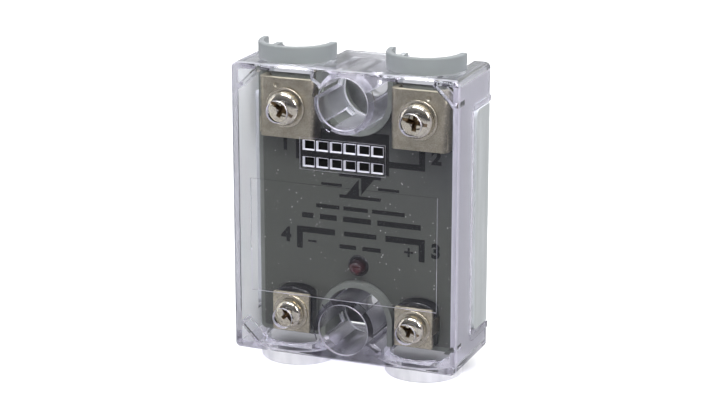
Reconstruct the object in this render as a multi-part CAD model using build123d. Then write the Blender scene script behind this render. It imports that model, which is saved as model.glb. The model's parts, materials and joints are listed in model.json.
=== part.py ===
from build123d import *
import math
import os

# Solid state relay with a clear touch cover.
# Frame: X across the relay, Y into the panel, Z up along its length.
# The back of the base plate lies in the plane Y = 0, the front faces -Y, and
# Z = 0 is midway between the two mounting holes. All sizes are millimetres.

# ---- overall sizes ----------------------------------------------------------
MOUNT_SPACING = 47.6         # between the two mounting holes
MOUNT_HOLE_R = 2.3
BASE_THICKNESS = 3.0
BODY_WIDTH = 44.8
BODY_HEIGHT = 57.8
BODY_CORNER_R = 1.2
COVER_WIDTH = 48.8
COVER_HEIGHT = 61.0
COVER_DEPTH = 19.5
COVER_WALL = 1.3
COVER_FRONT = 1.4
COVER_CORNER_R = 1.1

# Depths are measured back from the outer front face of the cover.
FRONT_Y = -(BASE_THICKNESS + COVER_DEPTH)
BASE_DEPTH = COVER_DEPTH
COLLAR_DEPTH = 7.5           # front of the collars round the mounting notches
FACE_DEPTH = 9.4             # front of the housing, under the label
FACE_WALL = 1.5
SIDE_WALL = 1.5
CAVITY_DEPTH = FACE_DEPTH + FACE_WALL
NOTCH_R = 7.0
COLLAR_R = 8.15
NOTCH_WALL_R = 8.5
LABEL_THICKNESS = 0.25
LABEL_INSET = 1.15

# ---- cover details ----------------------------------------------------------
TUBE_R = 6.45                # screwdriver tubes over the mounting holes
TUBE_BORE_R = 5.45
TUBE_BACK_DEPTH = 15.0
TUBE_SLOT_WIDTH = 2.2
TUBE_SLOT_START = 0.9
TUBE_SLOT_END = 13.2
TUBE_SLOT_COUNT = 5          # the one that would face the end wall is left out
WEB_DEPTH = 4.0
HOOD_X = 14.0                # cable hoods on the two end walls
HOOD_CENTRE_DEPTH = 10.6
HOOD_R = 8.2
HOOD_WALL = 1.2
HOOD_RISE = 3.4
HOOD_BACK_DEPTH = 11.5
HOOD_RIB_BACK_DEPTH = 18.5
HOOD_RIB_RISE = 0.7
WINDOW_FRONT_DEPTH = 9.7     # side windows, open to the back
WINDOW_BOTTOM_Z = -24.7
WINDOW_TOP_Z = 22.6
WINDOW_BAND = 1.2
WINDOW_BAND_RISE = 0.25
CORNER_RIB_LEG = 4.1
CORNER_RIB_THICKNESS = 0.7
CORNER_RIB_DEPTH = 5.0
VENT_COLUMNS = 6
VENT_PITCH_X = 2.97
VENT_WIDTH = 2.55
VENT_HEIGHT = 2.05
VENT_ROWS_Z = (14.72, 11.25)
VENT_BORDER = 0.55
RECESS_WIDTH = 40.6
RECESS_TOP_Z = 6.6
RECESS_BOTTOM_Z = -17.4
RECESS_DEPTH = 0.35
DRIVER_CHAMFER = 0.3

# ---- housing details --------------------------------------------------------
PAD_FRONT_DEPTH = 11.3       # side pads that fill the cover's windows
PAD_BACK_DEPTH = 19.2
PAD_OUTER_X = 24.5
PAD_CLEARANCE = 0.35
LED_Z = -12.4
LED_R = 1.5
LED_HOLE_R = 1.6
LED_FRONT_DEPTH = 7.3
LED_FLANGE_R = 1.9
LED_FLANGE_FRONT = CAVITY_DEPTH
LED_FLANGE_BACK = CAVITY_DEPTH + 1.0
LED_BACK_DEPTH = 13.4
LED_LEAD_R = 0.3
LED_LEAD_X = 0.75

# ---- electronics ------------------------------------------------------------
BOARD_FRONT_DEPTH = 14.6
BOARD_THICKNESS = 1.6
BOARD_HALF_WIDTH = 20.0
BOARD_BOTTOM_Z = -27.0
BOARD_TOP_Z = 5.0
BOARD_NOTCH_R = 9.0
SUBSTRATE_THICKNESS = 0.8
SUBSTRATE_HALF_WIDTH = 20.4
SUBSTRATE_BOTTOM_Z = 2.0
SUBSTRATE_TOP_Z = 19.0
SUBSTRATE_NOTCH_R = 8.9
PAD_THICKNESS = 0.3
PAD_GAP_HALF = 0.8
CHIP_SIZE = 6.0
CHIP_THICKNESS = 0.4
CHIP_X = 8.0
STRAP_WIDTH = 2.0
STRAP_THICKNESS = 0.3
TONGUE_GAP = 0.1             # slots round the terminal tongues
CONTACT_GAP = 0.03           # between pieces that move apart
BIG = 100.0


class Terminal:
    """Sizes of one screw terminal: its plate, screw, washers and nut."""

    def __init__(self, number, x, z, output):
        self.number = number
        self.x = x
        self.z = z
        self.output = output
        self.side = math.copysign(1, x)
        self.shank_r = 2.0 if output else 1.5
        self.head_r = 3.5 if output else 2.85
        self.head_front = 2.7
        self.head_back = 4.3 if output else 4.2
        self.plate_front = 5.4 if output else 5.3
        self.plate_thickness = 1.2 if output else 0.9
        self.plate_width = 12.2 if output else 8.3
        self.plate_height = 12.4 if output else 8.4
        self.plate_z = z - 0.2 if output else z - 0.05
        self.lock_r = 3.6 if output else 3.1
        self.flat_r = 4.2 if output else 3.85
        self.washer_split = 4.85 if output else 4.75
        self.nut_size = 7.0 if output else 5.5
        self.nut_back = FACE_DEPTH if output else 8.6
        self.shank_back = 9.3 if output else 8.5
        self.driver_hole_r = 2.3 if output else 2.15

    @property
    def plate_back(self):
        return self.plate_front + self.plate_thickness

    @property
    def tongue_bottom(self):
        return self.plate_z - self.plate_height / 2 + 0.6 if self.output else self.z - 1.5

    @property
    def tongue_top(self):
        return self.tongue_bottom + 3.2

    @property
    def tongue_back(self):
        if self.output:
            return BASE_DEPTH - SUBSTRATE_THICKNESS - PAD_THICKNESS
        return BOARD_FRONT_DEPTH


TERMINALS = (
    Terminal(1, -14.4, 20.9, True),
    Terminal(2, 14.4, 20.9, True),
    Terminal(3, 13.6, -22.95, False),
    Terminal(4, -13.6, -22.95, False),
)


# ---- shape helpers ----------------------------------------------------------
def prism(sketch, front, back):
    """Extrude an X-Z outline between two depths."""
    return extrude(Plane.XZ.offset(-(FRONT_Y + back)) * sketch, amount=back - front, dir=(0, -1, 0))


def block(x0, x1, front, back, z0, z1):
    """Box between two X, two depths and two Z."""
    outline = Pos((x0 + x1) / 2, (z0 + z1) / 2) * Rectangle(abs(x1 - x0), abs(z1 - z0))
    return prism(outline, front, back)


def disc(x, z, radius, front, back):
    return prism(Pos(x, z) * Circle(radius), front, back)


def notch_outline(radius, end):
    """U-shaped outline round a mounting hole, open to one end (+1 top, -1 bottom)."""
    hole_z = end * MOUNT_SPACING / 2
    leg = Pos(0, hole_z + end * BIG / 2) * Rectangle(2 * radius, BIG)
    return Pos(0, hole_z) * Circle(radius) + leg


def both_notches(radius):
    return notch_outline(radius, 1) + notch_outline(radius, -1)


def body_outline(inset=0.0):
    corner = max(BODY_CORNER_R - inset, 0.4)
    return RectangleRounded(BODY_WIDTH - 2 * inset, BODY_HEIGHT - 2 * inset, corner)


def drop(shape):
    """One clean solid."""
    solids = shape.solids()
    return max(solids, key=lambda solid: solid.volume) if len(solids) > 1 else solids[0]


# ---- heat-sink plate and housing -------------------------------------------
def make_base_plate():
    plate = prism(body_outline(), BASE_DEPTH, BASE_DEPTH + BASE_THICKNESS)
    for end in (1, -1):
        plate -= disc(0, end * MOUNT_SPACING / 2, MOUNT_HOLE_R, BASE_DEPTH - 1, BASE_DEPTH + 5)
    return chamfer(plate.faces().sort_by(Axis.Y)[-1].outer_wire().edges(), 0.4)


def tongue_block(terminal, gap=0.0):
    """The strip that carries one terminal's current back into the housing."""
    outer = terminal.side * (abs(terminal.x) + terminal.plate_width / 2)
    inner = outer - terminal.side * terminal.plate_thickness
    low = min(outer, inner) - gap
    high = max(outer, inner) + gap
    return block(low, high, terminal.plate_front + terminal.plate_thickness / 2,
                 terminal.tongue_back, terminal.tongue_bottom - gap, terminal.tongue_top + gap)


def side_pad(side):
    """Pad on the housing's side, with rounded ends, that fills a cover window."""
    bottom = WINDOW_BOTTOM_Z + PAD_CLEARANCE
    top = WINDOW_TOP_Z - PAD_CLEARANCE
    front_y = FRONT_Y + PAD_FRONT_DEPTH
    back_y = FRONT_Y + PAD_BACK_DEPTH
    width = PAD_OUTER_X - BODY_WIDTH / 2 + 0.5
    pad = Pos(side * (PAD_OUTER_X - width / 2), (front_y + back_y) / 2, (bottom + top) / 2) * Box(
        width, back_y - front_y, top - bottom)
    front_edges = pad.edges().filter_by(Axis.X).sort_by(Axis.Y)[:2]
    return fillet(front_edges, 1.6)


def make_housing():
    shell = prism(body_outline() - both_notches(NOTCH_R), FACE_DEPTH, BASE_DEPTH)
    shell = chamfer(shell.faces().sort_by(Axis.Y)[0].edges(), 0.3)
    collars = prism((body_outline(0.3) & both_notches(COLLAR_R)) - both_notches(NOTCH_R),
                    COLLAR_DEPTH, FACE_DEPTH + 0.5)
    shell += collars
    shell -= prism(body_outline(SIDE_WALL) - both_notches(NOTCH_WALL_R), CAVITY_DEPTH, BASE_DEPTH + 1)
    shell += [side_pad(1), side_pad(-1)]
    shell -= disc(0, LED_Z, LED_HOLE_R, FACE_DEPTH - 1, CAVITY_DEPTH + 1)
    for terminal in TERMINALS:
        shell -= tongue_block(terminal, TONGUE_GAP)
    return drop(shell)


def make_face_label():
    outline = body_outline(LABEL_INSET) - both_notches(COLLAR_R + 0.15)
    outline -= Pos(0, LED_Z) * Circle(LED_R + 0.25)
    for terminal in TERMINALS:
        window = Rectangle(terminal.plate_width + 0.4, terminal.plate_height + 0.4)
        outline -= Pos(terminal.x, terminal.plate_z) * window
        if not terminal.output:
            outline -= insulator_outline(terminal, 0.2)
    return prism(outline, FACE_DEPTH - LABEL_THICKNESS, FACE_DEPTH)


def insulator_outline(terminal, grow=0.0):
    """Block with an arched top, a little narrower than the terminal's plate."""
    half = terminal.plate_width / 2 - 0.1 + grow
    bottom = terminal.plate_z - terminal.plate_height / 2 + 0.15 - grow
    top = terminal.plate_z + terminal.plate_height / 2 - 0.7
    middle = Pos(terminal.x, (bottom + top) / 2) * Rectangle(2 * half, top - bottom)
    return middle + Pos(terminal.x, top) * Ellipse(half, 1.7 + grow)


def make_input_insulator(terminal):
    body = prism(insulator_outline(terminal), terminal.plate_back, FACE_DEPTH)
    nut = Pos(terminal.x, terminal.z) * Rectangle(terminal.nut_size, terminal.nut_size)
    body -= prism(nut, terminal.plate_back - 1, terminal.nut_back)
    body -= disc(terminal.x, terminal.z, terminal.shank_r + 0.4, terminal.plate_back, FACE_DEPTH + 1)
    body -= tongue_block(terminal, TONGUE_GAP)
    return drop(body)


# ---- terminals and their screws ---------------------------------------------
def make_output_terminal(terminal):
    """Bent plate: a face with two rounded side flanges that stand on the housing."""
    half = terminal.plate_width / 2
    thickness = terminal.plate_thickness
    front_y = FRONT_Y + terminal.plate_front
    back_y = FRONT_Y + FACE_DEPTH
    section = Pos(0, (front_y + back_y) / 2) * Rectangle(2 * half, back_y - front_y)
    section = fillet(section.vertices().sort_by(Axis.Y)[:2], 1.3)
    hollow_back = back_y + 1
    hollow_front = front_y + thickness
    hollow = Pos(0, (hollow_front + hollow_back) / 2) * Rectangle(
        2 * (half - thickness), hollow_back - hollow_front)
    hollow = fillet(hollow.vertices().sort_by(Axis.Y)[:2], 0.4)
    bottom = terminal.plate_z - terminal.plate_height / 2
    channel = extrude(Plane.XY.offset(bottom) * (Pos(terminal.x, 0) * (section - hollow)),
                      amount=terminal.plate_height)
    channel += tongue_block(terminal)
    channel -= disc(terminal.x, terminal.z, terminal.shank_r + 0.2, 0, FACE_DEPTH)
    dimple = Sphere(0.75)
    dimple_x = terminal.x + terminal.side * half * 0.35
    dimple_z = terminal.plate_z + terminal.plate_height / 2 - 1.5
    channel -= Pos(dimple_x, front_y - 0.5, dimple_z) * dimple
    return drop(channel)


def make_input_terminal(terminal):
    """Flat plate with a tongue bent back at its outer edge."""
    outline = Pos(terminal.x, terminal.plate_z) * RectangleRounded(
        terminal.plate_width, terminal.plate_height, 0.35)
    plate = prism(outline, terminal.plate_front, terminal.plate_back)
    plate += tongue_block(terminal)
    plate -= disc(terminal.x, terminal.z, terminal.shank_r + 0.2, 0, FACE_DEPTH)
    return drop(plate)


def make_terminal_nut(terminal):
    outline = RectangleRounded(terminal.nut_size, terminal.nut_size, 0.4)
    outline -= Circle(terminal.shank_r + 0.05)
    return prism(Pos(terminal.x, terminal.z) * outline, terminal.plate_back, terminal.nut_back)


def make_flat_washer(terminal):
    outline = Circle(terminal.flat_r) - Circle(terminal.shank_r + 0.15)
    washer = prism(Pos(terminal.x, terminal.z) * outline,
                   terminal.washer_split, terminal.plate_front - CONTACT_GAP)
    return fillet(washer.faces().sort_by(Axis.Y)[0].outer_wire().edges(), 0.15)


def make_lock_washer(terminal):
    """Spring washer: a ring of square section, split on a slant."""
    outline = Circle(terminal.lock_r) - Circle(terminal.shank_r + 0.15)
    washer = prism(Pos(terminal.x, terminal.z) * outline,
                   terminal.head_back + CONTACT_GAP, terminal.washer_split)
    middle_depth = (terminal.head_back + terminal.washer_split) / 2
    cut = Pos(terminal.x, FRONT_Y + middle_depth, terminal.z) * Rot(0, 40, 0) * Pos(
        terminal.lock_r, 0, 0) * Rot(25, 0, 0) * Box(2 * terminal.lock_r, 3, 0.35)
    return drop(washer - cut)


def screw_head(radius, height):
    """Domed head of revolution about Y, with its top at the origin."""
    rim = height * 0.55
    dome_radius = (radius ** 2 + rim ** 2) / (2 * rim)
    half_radius = radius / 2
    half_drop = dome_radius - math.sqrt(dome_radius ** 2 - half_radius ** 2)
    edges = [
        Line((0, height), (radius - 0.15, height)),
        Line((radius - 0.15, height), (radius, height - 0.15)),
        Line((radius, height - 0.15), (radius, rim)),
        ThreePointArc((radius, rim), (half_radius, half_drop), (0, 0)),
        Line((0, 0), (0, height)),
    ]
    return revolve(make_face(edges), Axis.Y, 360)


def make_terminal_screw(terminal):
    """Domed pan head with a cross recess and a driver slot, on a plain shank."""
    head_height = terminal.head_back - terminal.head_front
    at_head = Pos(terminal.x, FRONT_Y + terminal.head_front, terminal.z)
    shank = disc(terminal.x, terminal.z, terminal.shank_r, terminal.head_back - 0.2,
                 terminal.shank_back)
    shank = chamfer(shank.faces().sort_by(Axis.Y)[-1].edges(), 0.3)
    screw = at_head * screw_head(terminal.head_r, head_height) + shank
    arm_length = terminal.head_r * 1.1
    arm_width = terminal.head_r * 0.24
    arm_depth = head_height * 1.4
    cross = Box(arm_length, arm_depth, arm_width) + Box(arm_width, arm_depth, arm_length)
    slot = Box(terminal.head_r * 1.75, head_height * 0.7, arm_width * 0.9)
    screw -= at_head * Rot(0, 20, 0) * cross
    screw -= at_head * Rot(0, 20, 0) * slot
    return drop(screw)


# ---- clear cover ------------------------------------------------------------
def cover_shell():
    outer = prism(RectangleRounded(COVER_WIDTH, COVER_HEIGHT, COVER_CORNER_R), 0, COVER_DEPTH)
    outer = fillet(outer.faces().sort_by(Axis.Y)[0].edges(), 0.7)
    inner = RectangleRounded(COVER_WIDTH - 2 * COVER_WALL, COVER_HEIGHT - 2 * COVER_WALL, 0.5)
    return outer - prism(inner, COVER_FRONT, COVER_DEPTH + 1)


def tube_web(end):
    """Filler between a tube and the end wall beside it."""
    hole_z = MOUNT_SPACING / 2
    wall_z = COVER_HEIGHT / 2 - COVER_WALL / 2
    points = [(-7.2, wall_z), (-7.2, hole_z + 4.3), (-5.6, hole_z + 3.2),
              (5.6, hole_z + 3.2), (7.2, hole_z + 4.3), (7.2, wall_z)]
    outline = Polygon(*[(x, end * z) for x, z in points], align=None)
    return prism(outline, COVER_FRONT / 2, WEB_DEPTH)


def add_tube(cover, end):
    hole_z = end * MOUNT_SPACING / 2
    cover += disc(0, hole_z, TUBE_R, 0.2, TUBE_BACK_DEPTH)
    cover += tube_web(end)
    cover -= disc(0, hole_z, TUBE_BORE_R, -1, TUBE_BACK_DEPTH + 1)
    slot_length = TUBE_SLOT_END - TUBE_SLOT_START
    slot_y = FRONT_Y + (TUBE_SLOT_START + TUBE_SLOT_END) / 2
    for index in range(1, TUBE_SLOT_COUNT):
        turn = end * (90 + index * 360 / TUBE_SLOT_COUNT)
        cutter = Pos((TUBE_BORE_R + TUBE_R) / 2, 0, 0) * Box(
            1.6, slot_length, TUBE_SLOT_WIDTH)
        cover -= Pos(0, slot_y, hole_z) * Rot(0, -turn, 0) * cutter
    return cover


def hood_outline(radius, back_depth):
    """Half round towards the front with short straight legs, in the X-Y plane."""
    centre_y = FRONT_Y + HOOD_CENTRE_DEPTH
    back_y = FRONT_Y + back_depth
    legs = Pos(0, (centre_y + back_y) / 2) * Rectangle(2 * radius, back_y - centre_y)
    front_half = Pos(0, centre_y - radius / 2) * Rectangle(2 * radius, radius)
    return (Pos(0, centre_y) * Circle(radius) & front_half) + legs


def add_hood(cover, side, end):
    """Half-tube over a cable entry, and the opening through the wall behind it."""
    wall_inner = COVER_HEIGHT / 2 - COVER_WALL
    wall_outer = COVER_HEIGHT / 2
    inner_r = HOOD_R - HOOD_WALL
    hood = hood_outline(HOOD_R, HOOD_BACK_DEPTH)
    opening = hood_outline(inner_r, COVER_DEPTH + 2)
    start = wall_outer - 0.3 if end > 0 else -wall_outer - HOOD_RISE
    hood = extrude(Plane.XY.offset(start) * (Pos(side * HOOD_X, 0) * hood),
                   amount=HOOD_RISE + 0.3)
    rim = hood.faces().sort_by(Axis.Z)[-1 if end > 0 else 0]
    cover += fillet(rim.edges(), 0.35)
    low = wall_inner - 0.5 if end > 0 else -wall_outer - HOOD_RISE - 1
    cover -= extrude(Plane.XY.offset(low) * (Pos(side * HOOD_X, 0) * opening),
                     amount=COVER_WALL + HOOD_RISE + 1.5)
    if end > 0:
        rib_left = side * HOOD_X - HOOD_R
        cover += block(rib_left, rib_left + HOOD_WALL, HOOD_BACK_DEPTH - 0.2, HOOD_RIB_BACK_DEPTH,
                       wall_outer - 0.3, wall_outer + HOOD_RIB_RISE)
    return cover


def corner_rib(side, end):
    """Slanting stiffener across a front corner, inside the walls."""
    inner_x = COVER_WIDTH / 2 - COVER_WALL
    inner_z = COVER_HEIGHT / 2 - COVER_WALL
    overlap = 0.4
    points = [(inner_x - CORNER_RIB_LEG - CORNER_RIB_THICKNESS, inner_z + overlap),
              (inner_x - CORNER_RIB_LEG + overlap, inner_z + overlap),
              (inner_x + overlap, inner_z - CORNER_RIB_LEG + overlap),
              (inner_x + overlap, inner_z - CORNER_RIB_LEG - CORNER_RIB_THICKNESS)]
    outline = Polygon(*[(side * x, end * z) for x, z in points], align=None)
    return prism(outline, COVER_FRONT / 2, CORNER_RIB_DEPTH)


def add_side_window(cover, side):
    """Opening in a side wall, open to the back, with a raised band at each end."""
    outer_x = COVER_WIDTH / 2
    for edge_z, way in ((WINDOW_TOP_Z, 1), (WINDOW_BOTTOM_Z, -1)):
        cover += block(side * (outer_x - 0.3), side * (outer_x + WINDOW_BAND_RISE),
                       WINDOW_FRONT_DEPTH, COVER_DEPTH, edge_z, edge_z + way * WINDOW_BAND)
    cover -= block(side * (outer_x - COVER_WALL - 0.5), side * (outer_x + 1),
                   WINDOW_FRONT_DEPTH, COVER_DEPTH + 1, WINDOW_BOTTOM_Z, WINDOW_TOP_Z)
    return cover


def vent_grid():
    """Two rows of slots inside a shallow border."""
    half_columns = (VENT_COLUMNS - 1) / 2
    cells = [Pos((column - half_columns) * VENT_PITCH_X, row_z) * Rectangle(VENT_WIDTH, VENT_HEIGHT)
             for row_z in VENT_ROWS_Z for column in range(VENT_COLUMNS)]
    width = (VENT_COLUMNS - 1) * VENT_PITCH_X + VENT_WIDTH + 2 * VENT_BORDER
    height = VENT_ROWS_Z[0] - VENT_ROWS_Z[1] + VENT_HEIGHT + 2 * VENT_BORDER
    border = Pos(0, sum(VENT_ROWS_Z) / 2) * Rectangle(width, height)
    return [prism(border, -1, 0.15)] + [prism(cell, -1, COVER_FRONT + 1) for cell in cells]


def driver_hole(terminal):
    """Screwdriver hole in front of a terminal screw, with a bevelled rim."""
    radius = terminal.driver_hole_r
    hole = disc(terminal.x, terminal.z, radius, -1, COVER_FRONT + 1)
    at_face = Pos(terminal.x, FRONT_Y, terminal.z) * Rot(90, 0, 0)
    return hole + at_face * Cone(radius - DRIVER_CHAMFER, radius + DRIVER_CHAMFER, 2 * DRIVER_CHAMFER)


def make_clear_cover():
    cover = cover_shell()
    for end in (1, -1):
        for side in (1, -1):
            cover += corner_rib(side, end)
            cover = add_hood(cover, side, end)
        cover = add_tube(cover, end)
    for side in (1, -1):
        cover = add_side_window(cover, side)
    recess_z = (RECESS_TOP_Z + RECESS_BOTTOM_Z) / 2
    recess = Pos(0, recess_z) * Rectangle(RECESS_WIDTH, RECESS_TOP_Z - RECESS_BOTTOM_Z)
    cover -= prism(recess, -1, RECESS_DEPTH)
    cover -= vent_grid()
    for terminal in TERMINALS:
        cover -= driver_hole(terminal)
    return drop(cover)


# ---- electronics inside the housing -----------------------------------------
def make_status_led():
    dome_centre = LED_FRONT_DEPTH + LED_R
    led = disc(0, LED_Z, LED_R, dome_centre, LED_BACK_DEPTH)
    led += Pos(0, FRONT_Y + dome_centre, LED_Z) * Sphere(LED_R)
    led += disc(0, LED_Z, LED_FLANGE_R, LED_FLANGE_FRONT, LED_FLANGE_BACK)
    return drop(led)


def make_led_leads():
    return [disc(x, LED_Z, LED_LEAD_R, LED_BACK_DEPTH, BOARD_FRONT_DEPTH)
            for x in (-LED_LEAD_X, LED_LEAD_X)]


def make_circuit_board():
    middle_z = (BOARD_TOP_Z + BOARD_BOTTOM_Z) / 2
    outline = Pos(0, middle_z) * Rectangle(2 * BOARD_HALF_WIDTH, BOARD_TOP_Z - BOARD_BOTTOM_Z)
    outline -= notch_outline(BOARD_NOTCH_R, -1)
    return drop(prism(outline, BOARD_FRONT_DEPTH, BOARD_FRONT_DEPTH + BOARD_THICKNESS))


def make_ceramic_substrate():
    middle_z = (SUBSTRATE_TOP_Z + SUBSTRATE_BOTTOM_Z) / 2
    outline = Pos(0, middle_z) * Rectangle(
        2 * SUBSTRATE_HALF_WIDTH, SUBSTRATE_TOP_Z - SUBSTRATE_BOTTOM_Z)
    outline -= notch_outline(SUBSTRATE_NOTCH_R, 1)
    return drop(prism(outline, BASE_DEPTH - SUBSTRATE_THICKNESS, BASE_DEPTH))


def make_copper_pad(side):
    """Copper track under one chip and one output terminal."""
    back = BASE_DEPTH - SUBSTRATE_THICKNESS
    outer = SUBSTRATE_HALF_WIDTH - 0.2
    pad = block(side * PAD_GAP_HALF, side * outer, back - PAD_THICKNESS, back,
                SUBSTRATE_BOTTOM_Z + 3, SUBSTRATE_TOP_Z - 0.2)
    pad -= prism(notch_outline(SUBSTRATE_NOTCH_R + 0.3, 1), back - 1, back + 1)
    return drop(pad)


def chip_z(side):
    return 12.0 if side < 0 else 8.5


def make_thyristor_chip(side):
    back = BASE_DEPTH - SUBSTRATE_THICKNESS - PAD_THICKNESS
    middle_z = chip_z(side)
    return block(side * CHIP_X - CHIP_SIZE / 2, side * CHIP_X + CHIP_SIZE / 2,
                 back - CHIP_THICKNESS, back, middle_z - CHIP_SIZE / 2, middle_z + CHIP_SIZE / 2)


def make_thyristor_strap(side):
    """Copper bridge from the top of one chip to the other chip's track."""
    chip_top = BASE_DEPTH - SUBSTRATE_THICKNESS - PAD_THICKNESS - CHIP_THICKNESS
    low = chip_z(side) - STRAP_WIDTH / 2
    high = chip_z(side) + STRAP_WIDTH / 2
    foot_x = -side * 3.0
    bridge = block(side * (CHIP_X + 2), foot_x, chip_top - STRAP_THICKNESS, chip_top, low, high)
    foot = block(foot_x, foot_x + side * 1.0, chip_top - STRAP_THICKNESS,
                 chip_top + CHIP_THICKNESS, low, high)
    return drop(bridge + foot)


def make_gate_pins():
    """Pins that join the board to the substrate."""
    front = BOARD_FRONT_DEPTH + BOARD_THICKNESS
    back = BASE_DEPTH - SUBSTRATE_THICKNESS
    return [disc(x, 3.4, 0.4, front, back) for x in (-12.0, -4.0, 4.0, 12.0)]


def make_optocoupler():
    """Six-pin opto-isolator lying on the board."""
    front = BOARD_FRONT_DEPTH - 3.2
    body = block(-12.6, -3.8, front, BOARD_FRONT_DEPTH - 0.4, -9.2, -2.8)
    body = chamfer(body.edges().filter_by(Axis.Z), 0.3)
    for pin_x in (-10.7, -8.2, -5.7):
        for pin_z in (-9.7, -2.3):
            body += block(pin_x - 0.4, pin_x + 0.4, BOARD_FRONT_DEPTH - 2.0, BOARD_FRONT_DEPTH,
                          pin_z - 0.8, pin_z + 0.8)
    return drop(body)


def axial_part(x, z, radius, length):
    """Barrel with two bent leads, lying along X on the board."""
    centre_depth = BOARD_FRONT_DEPTH - radius
    barrel = Pos(x, FRONT_Y + centre_depth, z) * Rot(0, 90, 0) * Cylinder(radius, length)
    barrel = fillet(barrel.edges().filter_by(GeomType.CIRCLE), radius * 0.3)
    for way in (-1, 1):
        end_x = x + way * (length / 2 + 0.8)
        barrel += block(x, end_x + way * 0.3, centre_depth - 0.3, centre_depth + 0.3,
                        z - 0.3, z + 0.3)
        barrel += block(end_x - 0.3, end_x + 0.3, centre_depth - 0.3, BOARD_FRONT_DEPTH,
                        z - 0.3, z + 0.3)
    return drop(barrel)


def make_driver_transistor():
    """D-shaped transistor lying on its flat."""
    body = disc(-15.6, -15.4, 2.3, BOARD_FRONT_DEPTH - 3.3, BOARD_FRONT_DEPTH)
    return drop(body & block(-18.5, -12.5, 0, BASE_DEPTH, -16.6, -12.0))


def make_snubber_capacitor():
    body = block(-6.4, 6.4, BOARD_FRONT_DEPTH - 3.4, BOARD_FRONT_DEPTH, 0.2, 4.6)
    return fillet(body.edges().filter_by(Axis.Y), 0.6)


def make_potting(inner_pieces):
    """Resin that fills the housing round everything inside it."""
    resin = prism(body_outline(SIDE_WALL) - both_notches(NOTCH_WALL_R), CAVITY_DEPTH, BASE_DEPTH)
    for piece in inner_pieces:
        resin -= piece
    return drop(resin)


# ---- the assembly -----------------------------------------------------------
def make_pieces():
    pieces = {
        "base_plate": make_base_plate(),
        "housing": make_housing(),
        "face_label": make_face_label(),
        "clear_cover": make_clear_cover(),
        "status_led": make_status_led(),
        "led_leads": make_led_leads(),
        "circuit_board": make_circuit_board(),
        "ceramic_substrate": make_ceramic_substrate(),
        "gate_pins": make_gate_pins(),
        "optocoupler": make_optocoupler(),
        "input_resistor": axial_part(9.5, -4.6, 1.15, 6.4),
        "gate_resistor": axial_part(9.5, -8.6, 1.15, 6.4),
        "snubber_resistor": axial_part(14.0, 2.4, 1.5, 8.0),
        "reverse_diode": axial_part(14.8, -14.6, 1.0, 4.6),
        "driver_transistor": make_driver_transistor(),
        "snubber_capacitor": make_snubber_capacitor(),
    }
    for number, side in ((1, -1), (2, 1)):
        pieces[f"copper_pad_{number}"] = make_copper_pad(side)
        pieces[f"thyristor_chip_{number}"] = make_thyristor_chip(side)
        pieces[f"thyristor_strap_{number}"] = make_thyristor_strap(side)
    for terminal in TERMINALS:
        if terminal.output:
            pieces[f"output_terminal_{terminal.number}"] = make_output_terminal(terminal)
        else:
            pieces[f"input_terminal_{terminal.number}"] = make_input_terminal(terminal)
            pieces[f"input_insulator_{terminal.number}"] = make_input_insulator(terminal)
        pieces[f"terminal_nut_{terminal.number}"] = make_terminal_nut(terminal)
        pieces[f"flat_washer_{terminal.number}"] = make_flat_washer(terminal)
        pieces[f"lock_washer_{terminal.number}"] = make_lock_washer(terminal)
        pieces[f"terminal_screw_{terminal.number}"] = make_terminal_screw(terminal)
    return pieces


RESIN_FILLS_ROUND = (
    "status_led", "led_leads", "circuit_board", "ceramic_substrate", "gate_pins", "optocoupler",
    "input_resistor", "gate_resistor", "snubber_resistor", "reverse_diode", "driver_transistor",
    "snubber_capacitor", "copper_pad_1", "copper_pad_2", "thyristor_chip_1", "thyristor_chip_2",
    "thyristor_strap_1", "thyristor_strap_2", "output_terminal_1", "output_terminal_2",
    "input_terminal_3", "input_terminal_4",
)


def solids_of(piece):
    return piece if isinstance(piece, list) else [piece]


def main():
    pieces = make_pieces()
    inner = [solid for name in RESIN_FILLS_ROUND for solid in solids_of(pieces[name])]
    pieces["potting_compound"] = make_potting(inner)
    os.makedirs("parts", exist_ok=True)
    for name, piece in pieces.items():
        shape = Compound(children=piece) if isinstance(piece, list) else piece
        export_step(shape, os.path.join("parts", f"{name}.step"))
    print(len(pieces), "sub-parts written")


main()
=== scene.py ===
import json
import math

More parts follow.
